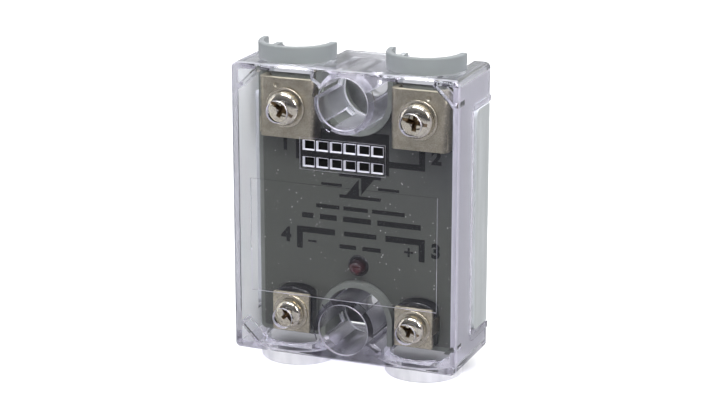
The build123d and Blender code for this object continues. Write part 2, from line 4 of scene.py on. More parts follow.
import bmesh
import bpy
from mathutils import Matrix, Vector


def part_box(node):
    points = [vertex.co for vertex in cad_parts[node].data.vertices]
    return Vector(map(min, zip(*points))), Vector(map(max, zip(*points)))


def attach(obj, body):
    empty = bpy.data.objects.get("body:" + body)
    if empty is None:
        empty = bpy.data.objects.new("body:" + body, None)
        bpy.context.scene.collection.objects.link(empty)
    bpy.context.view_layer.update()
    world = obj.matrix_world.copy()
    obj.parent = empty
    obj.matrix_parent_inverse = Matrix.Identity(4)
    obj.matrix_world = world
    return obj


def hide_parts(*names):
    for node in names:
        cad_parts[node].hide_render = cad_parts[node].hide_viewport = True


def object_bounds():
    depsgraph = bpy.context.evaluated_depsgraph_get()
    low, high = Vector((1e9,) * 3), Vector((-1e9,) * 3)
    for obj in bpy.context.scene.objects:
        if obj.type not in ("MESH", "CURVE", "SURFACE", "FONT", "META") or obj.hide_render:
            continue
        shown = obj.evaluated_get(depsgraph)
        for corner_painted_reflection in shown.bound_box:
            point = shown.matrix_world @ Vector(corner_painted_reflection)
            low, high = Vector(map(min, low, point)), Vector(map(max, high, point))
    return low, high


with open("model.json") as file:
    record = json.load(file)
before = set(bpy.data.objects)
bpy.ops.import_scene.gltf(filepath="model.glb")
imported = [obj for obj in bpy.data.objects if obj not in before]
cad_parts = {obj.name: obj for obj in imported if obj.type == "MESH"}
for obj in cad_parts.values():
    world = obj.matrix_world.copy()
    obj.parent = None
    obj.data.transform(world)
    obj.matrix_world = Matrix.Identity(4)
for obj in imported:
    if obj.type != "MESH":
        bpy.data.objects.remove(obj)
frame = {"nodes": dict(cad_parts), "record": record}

CAD_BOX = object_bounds()
MM = 0.001

# ---- camera -------------------------------------------------------------------
CAMERA_AZIMUTH = 21.97       # degrees to the right of straight in front
CAMERA_ELEVATION = 16.21     # degrees above the horizon
CAMERA_DISTANCE = 0.44923
CAMERA_TARGET = Vector((-0.000585, -0.0115, 0.000335))
SENSOR_WIDTH = 36.0
CAMERA_LENS = 108.82
FLOOR_GAP = 0.00002          # metres between the lowest hood and the floor

# ---- printing on the label and the vent grid's painted shadow, in millimetres from the label's centre ---
INK_GAP = 0.004              # ink stands just proud of the film
INK_THICKNESS = 0.012
PRINT_SHIFT_X = 0.35         # the film is printed a little off centre
NUMBER_HEIGHT = 3.0
FONT_SIZE_PER_HEIGHT = 1.38
NUMBER_BOLDNESS = 0.2        # how far each stroke is thickened outwards
NUMBER_X = 16.6
OUTPUT_NUMBER_Z = 12.3
INPUT_NUMBER_Z = -7.5
BRACKET_X = 14.2             # outer edge of the corner brackets
BRACKET_STROKE = 1.3
SIGN_X = 10.7
SIGN_Z = -8.25
SIGN_SIZE = 1.9
SIGN_STROKE = 0.46
GRID_SHADOW_LEFT_X = -13.5         # painted shadow of the vent grid: a dark sheet of ink on the film
GRID_SHADOW_RIGHT_X = 6.4
GRID_SHADOW_BOTTOM_Z = 7.5
GRID_SHADOW_TOP_Z = 16.2

# ---- clear cover, in millimetres ----------------------------------------------
HOOD_ROOT_Z = 30.55          # the frosted hoods start beyond the end walls
VENT_HALF_WIDTH = 9.5
VENT_BOTTOM_Z = 10.0
VENT_TOP_Z = 16.0
TUBE_CENTRE_Z = 23.8
TUBE_REACH = 6.6             # the tubes' walls lie within this radius
FRONT_PLATE = 1.6            # the tubes stand behind the front plate
HOLE_LIP = 0.75              # depth of the matt lip round each hole in the front plate
SIDE_WALL_X = 22.5           # the side walls' inner faces lie beyond this
DRIVER_HOLE_REACH = 3.0      # a screwdriver hole's rim lies within this radius

# How matt each part of the moulding is, from polished to fully frosted.
POLISHED = 0.0
TUBE_SHEEN = 0.4
UPPER_HOOD_FROST = 0.66
WALL_SHEEN = 0.6
EDGE_FROST = 0.62
RIM_FROST = 0.7
WALL_FROST = 0.75
LOWER_HOOD_FROST = 0.82
VENT_FROST = 1.0

# Colour that light takes on through the cover's thickness.
VIOLET = (0.10, 0.0, 0.34, 1.0)
VIOLET_DENSITY = 22.0        # per metre

# ---- metal plates -------------------------------------------------------------
PLATE_ROUND = 0.14
SINK_ROUND = 0.25

# ---- glossy black mouldings ---------------------------------------------------
INSULATOR_ROUND = 1.3
INSULATOR_RIM_REACH = 3.2    # edges nearer the screw belong to the nut's pocket
LAMP_Z = -12.4
LAMP_RADIUS = 1.5
LAMP_REACH = 2.5             # how far the lamp's dome stands out of the label
COLLAR_INNER = 1.55
COLLAR_OUTER = 2.25
COLLAR_HEIGHT = 0.32
COLLAR_STEPS = 12

# ---- terminal screws ----------------------------------------------------------
SCREW_SEGMENTS = 96
DOME_STEPS = 14
DOME_POWER = 2.3             # 2 is a plain ellipse, more is squarer in the shoulder
RECESS_TURNS = {1: 28, 2: 8, 3: 20, 4: 52}    # how each cross recess happens to stand, degrees


# ---- small helpers ------------------------------------------------------------
def aim(obj, target):
    """Turn a light or camera so that its -Z axis points at a place."""
    away = obj.location - target
    obj.rotation_euler = away.to_track_quat("Z", "Y").to_euler()


def new_object(name, mesh, body, material):
    """A piece of the relay: its mesh, record slot, body and material."""
    obj = bpy.data.objects.new(name, mesh)
    bpy.context.scene.collection.objects.link(obj)
    mesh.materials.append(material)
    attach(obj, body)
    return obj


class Shader:
    """A Principled material, with short calls that add texture nodes to it.

    Texture coordinates are object coordinates in metres, so a texture's scale is
    one over the size of its grain.
    """

    def __init__(self, name, **inputs):
        self.material = bpy.data.materials.new(name)
        self.material.use_nodes = True
        self.nodes = self.material.node_tree.nodes
        self.links = self.material.node_tree.links
        self.bsdf = self.nodes["Principled BSDF"]
        self.output = self.nodes["Material Output"]
        self.coords = self.nodes.new("ShaderNodeTexCoord").outputs["Object"]
        self.relief = None
        for key, value in inputs.items():
            self.bsdf.inputs[key.replace("_", " ")].default_value = value

    def link(self, source, target):
        self.links.new(source, target)

    def stretched(self, stretch):
        """Texture coordinates, scaled along each axis where a stretch is given."""
        if stretch is None:
            return self.coords
        node = self.nodes.new("ShaderNodeMapping")
        node.inputs["Scale"].default_value = stretch
        self.link(self.coords, node.inputs["Vector"])
        return node.outputs["Vector"]

    def noise(self, grain_mm, detail=4.0, roughness=0.55, stretch=None):
        node = self.nodes.new("ShaderNodeTexNoise")
        node.inputs["Scale"].default_value = 1.0 / (grain_mm * MM)
        node.inputs["Detail"].default_value = detail
        node.inputs["Roughness"].default_value = roughness
        self.link(self.stretched(stretch), node.inputs["Vector"])
        return node.outputs["Fac"]

    def cells(self, grain_mm, stretch=None):
        """Distance from the middle of scattered cells."""
        node = self.nodes.new("ShaderNodeTexVoronoi")
        node.inputs["Scale"].default_value = 1.0 / (grain_mm * MM)
        self.link(self.stretched(stretch), node.inputs["Vector"])
        return node.outputs["Distance"]

    def remap(self, value, low, high, out_low=0.0, out_high=1.0):
        node = self.nodes.new("ShaderNodeMapRange")
        for name, number in (("From Min", low), ("From Max", high),
                             ("To Min", out_low), ("To Max", out_high)):
            node.inputs[name].default_value = number
        self.link(value, node.inputs["Value"])
        return node.outputs["Result"]

    def multiply(self, first, second):
        node = self.nodes.new("ShaderNodeMath")
        node.operation = "MULTIPLY"
        for socket, value in zip(node.inputs, (first, second)):
            if isinstance(value, float):
                socket.default_value = value
            else:
                self.link(value, socket)
        return node.outputs["Value"]

    def add(self, first, second):
        """Sum of two sockets, held between 0 and 1."""
        node = self.nodes.new("ShaderNodeMath")
        node.use_clamp = True
        self.link(first, node.inputs[0])
        self.link(second, node.inputs[1])
        return node.outputs["Value"]

    def larger(self, first, second):
        """The larger of two sockets."""
        node = self.nodes.new("ShaderNodeMath")
        node.operation = "MAXIMUM"
        self.link(first, node.inputs[0])
        self.link(second, node.inputs[1])
        return node.outputs["Value"]

    def absolute(self, value):
        node = self.nodes.new("ShaderNodeMath")
        node.operation = "ABSOLUTE"
        self.link(value, node.inputs[0])
        return node.outputs["Value"]

    def axis(self, name):
        """One object coordinate, in metres."""
        node = self.nodes.new("ShaderNodeSeparateXYZ")
        self.link(self.coords, node.inputs["Vector"])
        return node.outputs[name]

    def facing(self, name):
        """How squarely the surface faces along an axis, from 0 to 1."""
        texture = self.nodes.new("ShaderNodeTexCoord")
        node = self.nodes.new("ShaderNodeSeparateXYZ")
        self.link(texture.outputs["Normal"], node.inputs["Vector"])
        return self.absolute(node.outputs[name])

    def blend(self, factor, first, second):
        """Mix two colours, each a tuple or a socket."""
        node = self.nodes.new("ShaderNodeMix")
        node.data_type = "RGBA"
        self.link(factor, node.inputs[0])
        for socket, value in ((node.inputs[6], first), (node.inputs[7], second)):
            if isinstance(value, tuple):
                socket.default_value = (*value, 1.0)
            else:
                self.link(value, socket)
        return node.outputs[2]

    def ramp(self, value, stops):
        """Colour that runs through (position, colour) stops."""
        node = self.nodes.new("ShaderNodeValToRGB")
        points = node.color_ramp.elements
        while len(points) < len(stops):
            points.new(0.5)
        for point, (position, colour) in zip(points, stops):
            point.position = position
            point.color = (*colour, 1.0)
        self.link(value, node.inputs["Fac"])
        return node.outputs["Color"]

    def painted(self, name):
        """A number that the mesh carries on each face."""
        node = self.nodes.new("ShaderNodeAttribute")
        node.attribute_name = name
        return node.outputs["Fac"]

    def colour(self, socket):
        self.link(socket, self.bsdf.inputs["Base Color"])

    def gloss(self, factor, smoothest, roughest):
        """Roughness that varies between two values with a texture."""
        self.link(self.remap(factor, 0.3, 0.7, smoothest, roughest),
                  self.bsdf.inputs["Roughness"])

    def bump(self, height, depth_mm, strength=1.0):
        """Add relief. Several calls stack."""
        node = self.nodes.new("ShaderNodeBump")
        node.inputs["Strength"].default_value = strength
        node.inputs["Distance"].default_value = depth_mm * MM
        self.link(height, node.inputs["Height"])
        if self.relief is not None:
            self.link(self.relief, node.inputs["Normal"])
        self.relief = node.outputs["Normal"]
        self.link(self.relief, self.bsdf.inputs["Normal"])


# ---- plastics -----------------------------------------------------------------
def housing_plastic():
    """Mid-grey moulding. The pads that show through the cover's sides are paler."""
    shader = Shader("housing_plastic", Specular_IOR_Level=0.4)
    mottle = shader.noise(6.0, detail=5)
    body = shader.blend(shader.remap(mottle, 0.35, 0.65),
                        (0.112, 0.122, 0.104), (0.142, 0.152, 0.132))
    outward = shader.remap(shader.absolute(shader.axis("X")), 0.0224, 0.0226)
    pads = shader.blend(shader.remap(shader.noise(2.0, stretch=(1, 1, 0.1)), 0.3, 0.7),
                        (0.44, 0.46, 0.46), (0.54, 0.56, 0.57))
    shader.colour(shader.blend(outward, body, pads))
    shader.gloss(shader.noise(1.2), 0.42, 0.6)
    shader.bump(shader.noise(0.16, detail=2), 0.02, 0.6)
    return shader.material


def label_film():
    """Dark film with a painted reflection that makes it darker and bluer towards its upper right,
    and with fine dust on it.
    """
    shader = Shader("label_film", Specular_IOR_Level=0.25)
    # painted reflection: darker and bluer towards the upper right
    across = shader.remap(shader.axis("X"), -0.006, 0.024)
    upward = shader.remap(shader.axis("Z"), -0.004, 0.022)
    corner_painted_reflection = shader.multiply(across, upward)
    film = shader.blend(corner_painted_reflection, (0.056, 0.060, 0.050), (0.037, 0.039, 0.046))
    cloud = shader.remap(shader.noise(9.0, detail=4), 0.3, 0.7)
    film = shader.blend(shader.multiply(cloud, 0.35), film, (0.072, 0.075, 0.062))
    speck = shader.remap(shader.cells(0.9), 0.18, 0.11)
    sparse = shader.remap(shader.noise(2.6, detail=1), 0.52, 0.60)
    film = shader.blend(shader.multiply(speck, sparse), film, (0.36, 0.36, 0.33))
    shader.colour(film)
    shader.gloss(shader.noise(2.0), 0.3, 0.42)
    shader.bump(shader.noise(0.3, detail=2), 0.006, 0.5)
    return shader.material


def label_ink():
    """Near-black ink, a little worn."""
    shader = Shader("label_ink", Specular_IOR_Level=0.08)
    worn = shader.remap(shader.noise(0.5, detail=5), 0.45, 0.75)
    shader.colour(shader.blend(worn, (0.004, 0.0042, 0.0038), (0.008, 0.0085, 0.0075)))
    shader.gloss(shader.noise(1.0), 0.5, 0.65)
    shader.bump(shader.noise(0.2), 0.004, 0.5)
    return shader.material


def clear_plastic():
    """Polycarbonate, violet through its edges and matt where the mould left it so.

    The mesh's "matt" number says how frosted each face is. The hoods, the plate's
    outline and the lips of its holes are frosted by where they are.
    """
    shader = Shader("clear_plastic", IOR=1.5, Specular_Tint=(0.4, 0.4, 0.44, 1.0))
    front_y = CAD_BOX[0][1]
    out_x, out_z = shader.absolute(shader.axis("X")), shader.absolute(shader.axis("Z"))
    outline = shader.larger(shader.remap(out_x, 0.02420, 0.02430),
                            shader.remap(out_z, 0.03025, 0.03035))
    plate = shader.remap(shader.axis("Y"), front_y + FRONT_PLATE * MM,
                         front_y + 0.9 * FRONT_PLATE * MM)
    lip = shader.remap(shader.axis("Y"), front_y + 1.1 * HOLE_LIP * MM,
                       front_y + HOLE_LIP * MM)
    lip = shader.multiply(lip, shader.remap(out_z, 0.0080, 0.0085))
    sideways = shader.remap(shader.facing("Y"), 0.6, 0.4)
    band = shader.larger(shader.multiply(plate, outline), lip)
    edge = shader.multiply(shader.multiply(band, sideways), EDGE_FROST)
    hood_root = HOOD_ROOT_Z * MM
    on_hood = shader.remap(out_z, hood_root - 0.00010, hood_root)
    hood_matt = shader.remap(shader.axis("Z"), -0.031, 0.031,
                             LOWER_HOOD_FROST, UPPER_HOOD_FROST)
    matt = shader.larger(shader.larger(shader.painted("matt"), edge),
                         shader.multiply(on_hood, hood_matt))
    cloud = shader.remap(shader.noise(2.4, detail=2, stretch=(1, 1, 0.35)), 0.3, 0.7)
    # Painted light and shade on the hoods: the upper hoods are painted darker and the lower hoods
    # lighter.
    height = shader.remap(shader.axis("Z"), -0.031, 0.031)
    hood_painted_shading = shader.blend(height, (0.97, 0.97, 0.95), (0.42, 0.45, 0.45))
    hood_painted_shading = shader.blend(shader.multiply(cloud, 0.35), hood_painted_shading, (0.42, 0.43, 0.44))
    finish = shader.ramp(matt, ((0.0, (0.97, 0.97, 0.99)), (0.4, (0.93, 0.92, 0.96)),
                                (0.62, (0.84, 0.82, 0.92)), (0.75, (0.94, 0.97, 0.92)),
                                (1.0, (0.64, 0.64, 0.69))))
    shader.colour(shader.blend(on_hood, finish, hood_painted_shading))
    shader.link(shader.remap(matt, 0.45, 1.0, 1.0, 0.12),
                shader.bsdf.inputs["Transmission Weight"])
    streaks = shader.noise(1.6, detail=4, stretch=(1, 1, 0.3))
    polish = shader.remap(streaks, 0.3, 0.7, 0.015, 0.05)
    shader.link(shader.add(shader.multiply(matt, 0.5), polish),
                shader.bsdf.inputs["Roughness"])
    shader.bump(shader.noise(7.0, detail=2), 0.05, 0.3)
    shader.bump(shader.multiply(shader.noise(0.25, detail=3), matt), 0.03, 0.5)
    volume = shader.nodes.new("ShaderNodeVolumeAbsorption")
    volume.inputs["Color"].default_value = VIOLET
    volume.inputs["Density"].default_value = VIOLET_DENSITY
    shader.link(volume.outputs["Volume"], shader.output.inputs["Volume"])
    pass_light(shader, (0.93, 0.93, 0.96, 1.0))
    return shader.material


def pass_light(shader, tint):
    """Let lamps shine through a clear material without a hard dark shadow."""
    clear = shader.nodes.new("ShaderNodeBsdfTransparent")
    clear.inputs["Color"].default_value = tint
    path = shader.nodes.new("ShaderNodeLightPath")
    mix = shader.nodes.new("ShaderNodeMixShader")
    shader.link(path.outputs["Is Shadow Ray"], mix.inputs[0])
    shader.link(shader.bsdf.outputs["BSDF"], mix.inputs[1])
    shader.link(clear.outputs["BSDF"], mix.inputs[2])
    shader.link(mix.outputs["Shader"], shader.output.inputs["Surface"])


def black_insulator():
    """Glossy black moulding under a clear coat."""
    shader = Shader("black_insulator", Coat_Weight=0.6, Coat_Roughness=0.03,
                    Specular_IOR_Level=0.2)
    shader.colour(shader.blend(shader.remap(shader.noise(1.5), 0.35, 0.65),
                               (0.003, 0.003, 0.0035), (0.006, 0.006, 0.007)))
    shader.gloss(shader.noise(0.8), 0.16, 0.26)
    shader.bump(shader.noise(1.2, detail=2), 0.02, 0.4)
    return shader.material


def led_red():
    """Tinted lamp: dark red in its lower half, with a painted dark reflection that makes its
    upper half almost black.
    """
    shader = Shader("led_red", Coat_Weight=0.35, Coat_Roughness=0.03, Specular_IOR_Level=0.25)
    # painted dark reflection over the lamp's upper half
    height = shader.remap(shader.axis("Z"), LAMP_Z * MM + 0.0012, LAMP_Z * MM - 0.0008)
    shader.colour(shader.blend(height, (0.008, 0.002, 0.003), (0.055, 0.003, 0.004)))
    shader.gloss(shader.noise(0.6), 0.1, 0.2)
    shader.bump(shader.noise(0.8), 0.006, 0.4)
    return shader.material


def moulded(name, dark, light, smooth, rough, grain_mm=0.5):
    """Plain mottled material for the pieces that the housing hides."""
    shader = Shader(name)
    mottle = shader.remap(shader.noise(grain_mm * 4), 0.35, 0.65)
    shader.colour(shader.blend(mottle, dark, light))
    shader.gloss(shader.noise(grain_mm * 2), smooth, rough)
    shader.bump(shader.noise(grain_mm), 0.01, 0.5)
    return shader.material


# ---- metals -------------------------------------------------------------------
def metal(name, dark, light, smooth, rough, stretch=None, scratch=0.35):
    """Plated metal with cloudy tarnish, fine scratches and an uneven sheen."""
    shader = Shader(name, Metallic=1.0)
    tarnish = shader.remap(shader.noise(2.4, detail=6), 0.32, 0.68)
    pitted = tuple(0.55 * part for part in dark)
    pits = shader.remap(shader.noise(0.3, detail=3, roughness=0.7), 0.56, 0.68, 0.0, 0.6)
    shader.colour(shader.blend(pits, shader.blend(tarnish, dark, light), pitted))
    grain = shader.noise(0.35, detail=5, stretch=stretch)
    shader.gloss(grain, smooth, rough)
    shader.bump(shader.noise(0.12, detail=3, stretch=stretch), 0.008, scratch)
    shader.bump(shader.noise(3.0, detail=2), 0.03, 0.3)
    return shader.material


def terminal_plate(name, painted_light_level):
    """Nickel plate with a fine grain, and a painted dark reflection, in dots, on the faces that
    turn sideways.
    """
    shader = Shader(name, Metallic=1.0)
    # painted light: the plate colour scaled lighter or darker for each copy
    dark, light = (tuple(painted_light_level * part for part in colour)
                   for colour in ((0.37, 0.34, 0.255), (0.54, 0.495, 0.38)))
    tarnish = shader.remap(shader.noise(2.4, detail=6), 0.32, 0.68)
    plate = shader.blend(tarnish, dark, light)
    grain = shader.remap(shader.noise(0.28, detail=4, roughness=0.7), 0.42, 0.62)
    plate = shader.blend(shader.multiply(grain, 0.5), plate, (0.20, 0.18, 0.13))
    # painted dark reflection on the faces that turn sideways
    painted_dark_sides = shader.remap(shader.facing("X"), 0.2, 0.7, 0.0, 0.65)
    dots = shader.remap(shader.cells(0.55), 0.25, 0.5, 0.5, 1.0)
    shader.colour(shader.blend(shader.multiply(painted_dark_sides, dots), plate, (0.10, 0.092, 0.07)))
    shader.gloss(shader.noise(0.35, detail=5, stretch=(1.0, 1.0, 0.12)), 0.32, 0.5)
    shader.bump(shader.noise(0.14, detail=3), 0.010, 0.8)
    shader.bump(shader.noise(3.0, detail=2), 0.03, 0.3)
    return shader.material


def make_materials():
    """One material for each slot of the record."""
    return {
        "sink_plate": metal("sink_plate", (0.22, 0.225, 0.22), (0.32, 0.325, 0.33), 0.34, 0.52,
                            (0.06, 1.0, 1.0), 0.6),
        "housing_plastic": housing_plastic(),
        "label_film": label_film(),
        "clear_plastic": clear_plastic(),
        # output plates' copy painted a little darker, as painted shade
        "terminal_plate": terminal_plate("terminal_plate", 0.92),
        "screw_metal": metal("screw_metal", (0.62, 0.57, 0.45), (0.82, 0.77, 0.65), 0.05, 0.12),
        "washer_metal": metal("washer_metal", (0.42, 0.38, 0.29), (0.60, 0.55, 0.44), 0.14, 0.26),
        "nut_metal": metal("nut_metal", (0.55, 0.52, 0.44), (0.70, 0.68, 0.62), 0.3, 0.45),
        "black_insulator": black_insulator(),
        "led_red": led_red(),
        "lead_wire": metal("lead_wire", (0.62, 0.62, 0.60), (0.80, 0.80, 0.78), 0.2, 0.4),
        "circuit_board": moulded("circuit_board", (0.012, 0.085, 0.030), (0.020, 0.130, 0.045),
                                 0.25, 0.45, 0.4),
        "ceramic": moulded("ceramic", (0.78, 0.76, 0.72), (0.88, 0.87, 0.83), 0.3, 0.5, 0.3),
        "copper": metal("copper", (0.55, 0.26, 0.15), (0.76, 0.42, 0.28), 0.25, 0.45),
        "silicon": metal("silicon", (0.10, 0.10, 0.13), (0.18, 0.18, 0.22), 0.08, 0.2),
        "component_black": moulded("component_black", (0.012, 0.012, 0.013),
                                   (0.024, 0.024, 0.026), 0.4, 0.6, 0.2),
        "resistor_body": moulded("resistor_body", (0.42, 0.30, 0.14), (0.54, 0.41, 0.22),
                                 0.2, 0.4),
        "capacitor_body": moulded("capacitor_body", (0.50, 0.24, 0.010), (0.62, 0.33, 0.018),
                                  0.25, 0.4),
        "resin": moulded("resin", (0.010, 0.010, 0.011), (0.020, 0.020, 0.022), 0.3, 0.5, 1.0),
    }


def dress_nodes(materials):
    """Give every CAD node its slot's material."""
    for part in frame["record"]["subparts"]:
        obj = frame["nodes"][part["node"]]
        for slot in obj.material_slots:
            slot.material = materials[part["material_slot"]]


# ---- finer copies of CAD pieces -----------------------------------------------
def welded_copy(mesh):
    """The same shape with its flat faces whole, ready to have edges rounded."""
    builder = bmesh.new()
    builder.from_mesh(mesh)
    bmesh.ops.remove_doubles(builder, verts=builder.verts, dist=0.001 * MM)
    bmesh.ops.dissolve_limit(builder, angle_limit=math.radians(0.3), verts=builder.verts,
                             edges=builder.edges)
    bmesh.ops.recalc_face_normals(builder, faces=builder.faces)
    return builder


def apply_modifiers(obj):
    """Bake an object's modifiers into its mesh."""
    depsgraph = bpy.context.evaluated_depsgraph_get()
    mesh = bpy.data.meshes.new_from_object(obj.evaluated_get(depsgraph))
    obj.modifiers.clear()
    obj.data = mesh


def round_edges(obj, width_mm, sharp_degrees=32):
    """Round every edge sharper than an angle, and keep flat faces flat to the eye."""
    bevel = obj.modifiers.new("rounding", "BEVEL")
    bevel.width = width_mm * MM
    bevel.segments = 2
    bevel.angle_limit = math.radians(sharp_degrees)
    bevel.use_clamp_overlap = True
    bevel.harden_normals = True
    apply_modifiers(obj)


# ---- clear cover --------------------------------------------------------------
def frost(centre, normal, screw_axes):
    """How matt the cover's moulding is at a face."""
    x, z = centre.x / MM, centre.z / MM
    depth = centre.y / MM - CAD_BOX[0][1] / MM
    in_vent = abs(x) < VENT_HALF_WIDTH and VENT_BOTTOM_Z < z < VENT_TOP_Z
    if in_vent and max(normal.x, normal.z) > 0.5:
        return VENT_FROST
    if math.hypot(x, abs(z) - TUBE_CENTRE_Z) < TUBE_REACH and depth > FRONT_PLATE:
        return WALL_FROST if normal.y > 0.9 else TUBE_SHEEN
    if abs(x) > SIDE_WALL_X and x * normal.x < 0 and abs(normal.x) > 0.9:
        return WALL_FROST if x < 0 else WALL_SHEEN
    by_screw = any(math.hypot(x - at_x, z - at_z) < DRIVER_HOLE_REACH
                   for at_x, at_z in screw_axes)
    if by_screw and 0.2 < abs(normal.y) < 0.95:
        return RIM_FROST
    return POLISHED


def make_cover(clear):
    """The cover, with a note on each face of how matt it is.

    The faces keep the normals they came with, because refraction shows the least bend.
    """
    mesh = frame["nodes"]["clear_cover"].data.copy()
    mesh.name = "touch_cover"
    mesh.materials.clear()
    boxes = [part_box(f"terminal_screw_{number}") for number in (1, 2, 3, 4)]
    screw_axes = [((low[0] + high[0]) / 2 / MM, (low[2] + high[2]) / 2 / MM)
                  for low, high in boxes]
    matt = mesh.attributes.new("matt", "FLOAT", "FACE")
    for face in mesh.polygons:
        matt.data[face.index].value = frost(face.center, face.normal, screw_axes)
    cover = new_object("touch_cover", mesh, "cover", clear)
    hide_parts("clear_cover")


# ---- terminal screws ----------------------------------------------------------
def tapered_bar(length, width, front, back, taper, turn):
    """Cutter for one arm of a recess: a bar along X that narrows with depth."""
    builder = bmesh.new()
    rings = []
    for depth, scale in ((front, 1.0 + taper), (back, 1.0 - taper)):
        x, z = length / 2 * scale, width / 2 * scale
        rings.append([builder.verts.new((a * MM, depth * MM, b * MM))
                      for a, b in ((-x, -z), (x, -z), (x, z), (-x, z))])
    near, far = rings
    builder.faces.new(near)
    builder.faces.new(reversed(far))
    for index in range(4):
        after = (index + 1) % 4
        builder.faces.new((near[index], far[index], far[after], near[after]))
    bmesh.ops.recalc_face_normals(builder, faces=builder.faces)
    mesh = bpy.data.meshes.new("recess_cutter")
    builder.to_mesh(mesh)
    builder.free()
    cutter = bpy.data.objects.new("recess_cutter", mesh)
    cutter.rotation_euler.y = turn
    bpy.context.scene.collection.objects.link(cutter)
    return cutter


def screw_profile(radius, head_height, shank_radius, shank_length):
    """Half outline of a pan head and shank, as (radius, depth) in millimetres."""
    dome = head_height * 0.78
    points = []
    for step in range(DOME_STEPS + 1):
        share = math.sin(math.pi / 2 * step / DOME_STEPS)
        fall = 1 - (1 - share ** DOME_POWER) ** (1 / DOME_POWER)
        points.append((radius * share, dome * fall))
    points += [(radius, head_height - 0.12), (radius - 0.12, head_height),
               (shank_radius, head_height), (shank_radius, shank_length - 0.3),
               (shank_radius - 0.3, shank_length), (0.0, shank_length)]
    return points


def revolve(points):
    """Mesh of revolution about Y from (radius, depth) points in millimetres."""
    builder = bmesh.new()
    rings = []
    for radius, depth in points:
        count = SCREW_SEGMENTS if radius > 0 else 1
        rings.append([builder.verts.new((radius * MM * math.cos(2 * math.pi * step / count),
                                         depth * MM,
                                         radius * MM * math.sin(2 * math.pi * step / count)))
                      for step in range(count)])
    for ring, following in zip(rings, rings[1:]):
        for step in range(SCREW_SEGMENTS):
            after = (step + 1) % SCREW_SEGMENTS
            corners = [ring[step % len(ring)], ring[after % len(ring)],
                       following[after % len(following)], following[step % len(following)]]
            builder.faces.new(list(dict.fromkeys(corners)))
    bmesh.ops.recalc_face_normals(builder, faces=builder.faces)
    mesh = bpy.data.meshes.new("screw")
    builder.to_mesh(mesh)
    builder.free()
    return mesh


def make_screw(number, turn, materials, recess):
    """Pan-head screw with a tapered cross recess and a shallow driver slot."""
    low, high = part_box(f"terminal_screw_{number}")
    washer_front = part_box(f"lock_washer_{number}")[0][1]
    radius = (high[0] - low[0]) / 2 / MM
    head_height = (washer_front - low[1]) / MM - 0.03
    length = (high[1] - low[1]) / MM
    shank_radius = 2.0 if radius > 3 else 1.5
    mesh = revolve(screw_profile(radius, head_height, shank_radius, length))
    screw = new_object(f"pan_screw_{number}", mesh, f"screw_{number}",
                       materials["screw_metal"])
    # second material: the recess's painted shade
    mesh.materials.append(recess)
    arm, width = radius * 0.98, radius * 0.25
    cutters = [
        tapered_bar(arm, width, -0.2, head_height * 0.9, 0.22, turn),
        tapered_bar(arm, width, -0.2, head_height * 0.9, 0.22, turn + math.pi / 2),
        tapered_bar(radius * 1.62, width * 0.8, -0.2, head_height * 0.3, 0.04, turn),
    ]
    for cutter in cutters:
        for slot_material in (materials["screw_metal"], recess):
            cutter.data.materials.append(slot_material)
        for face in cutter.data.polygons:
            face.material_index = 1
        cut = screw.modifiers.new("recess", "BOOLEAN")
        cut.object = cutter
        cut.solver = "EXACT"
    for face in mesh.polygons:
        face.use_smooth = True
    round_edges(screw, 0.05, 38)
    for cutter in cutters:
        bpy.data.objects.remove(cutter)
    middle = ((low[0] + high[0]) / 2, low[1], (low[2] + high[2]) / 2)
    for vertex in screw.data.vertices:
        vertex.co += Vector(middle)
    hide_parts(f"terminal_screw_{number}")


def make_screws(materials):
    """All four screws, with shade painted into their recesses as a darker brown metal."""
    # painted shade for the recesses: a darker brown metal
    recess = metal("recess_painted_shade_metal", (0.10, 0.065, 0.030), (0.30, 0.22, 0.13), 0.3, 0.55)
    for number, degrees in RECESS_TURNS.items():
        make_screw(number, math.radians(degrees), materials, recess)


# ---- plates with softened edges -----------------------------------------------
def make_softened(node, name, width_mm, material):
    """A CAD piece again, with its sharp edges rounded so that they catch the light."""
    builder = welded_copy(frame["nodes"][node].data)
    for face in builder.faces:
        face.smooth = True
        face.material_index = 0
    mesh = bpy.data.meshes.new(name)
    builder.to_mesh(mesh)
    builder.free()
    piece = new_object(name, mesh, "relay", material)
    round_edges(piece, width_mm)
    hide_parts(node)


def make_plates(materials):
    """The terminal plates and the mounting plate. The input plates get a lighter copy of the
    plate material, as painted light, and the output plates a slightly darker one.
    """
    painted_lit_plate = terminal_plate("painted_lit_terminal_plate", 1.3)
    for number in (1, 2):
        make_softened(f"output_terminal_{number}", f"output_plate_{number}",
                      PLATE_ROUND, materials["terminal_plate"])
    for number in (3, 4):
        make_softened(f"input_terminal_{number}", f"input_plate_{number}",
                      PLATE_ROUND, painted_lit_plate)
    make_softened("base_plate", "mounting_plate", SINK_ROUND,
                  materials["sink_plate"])


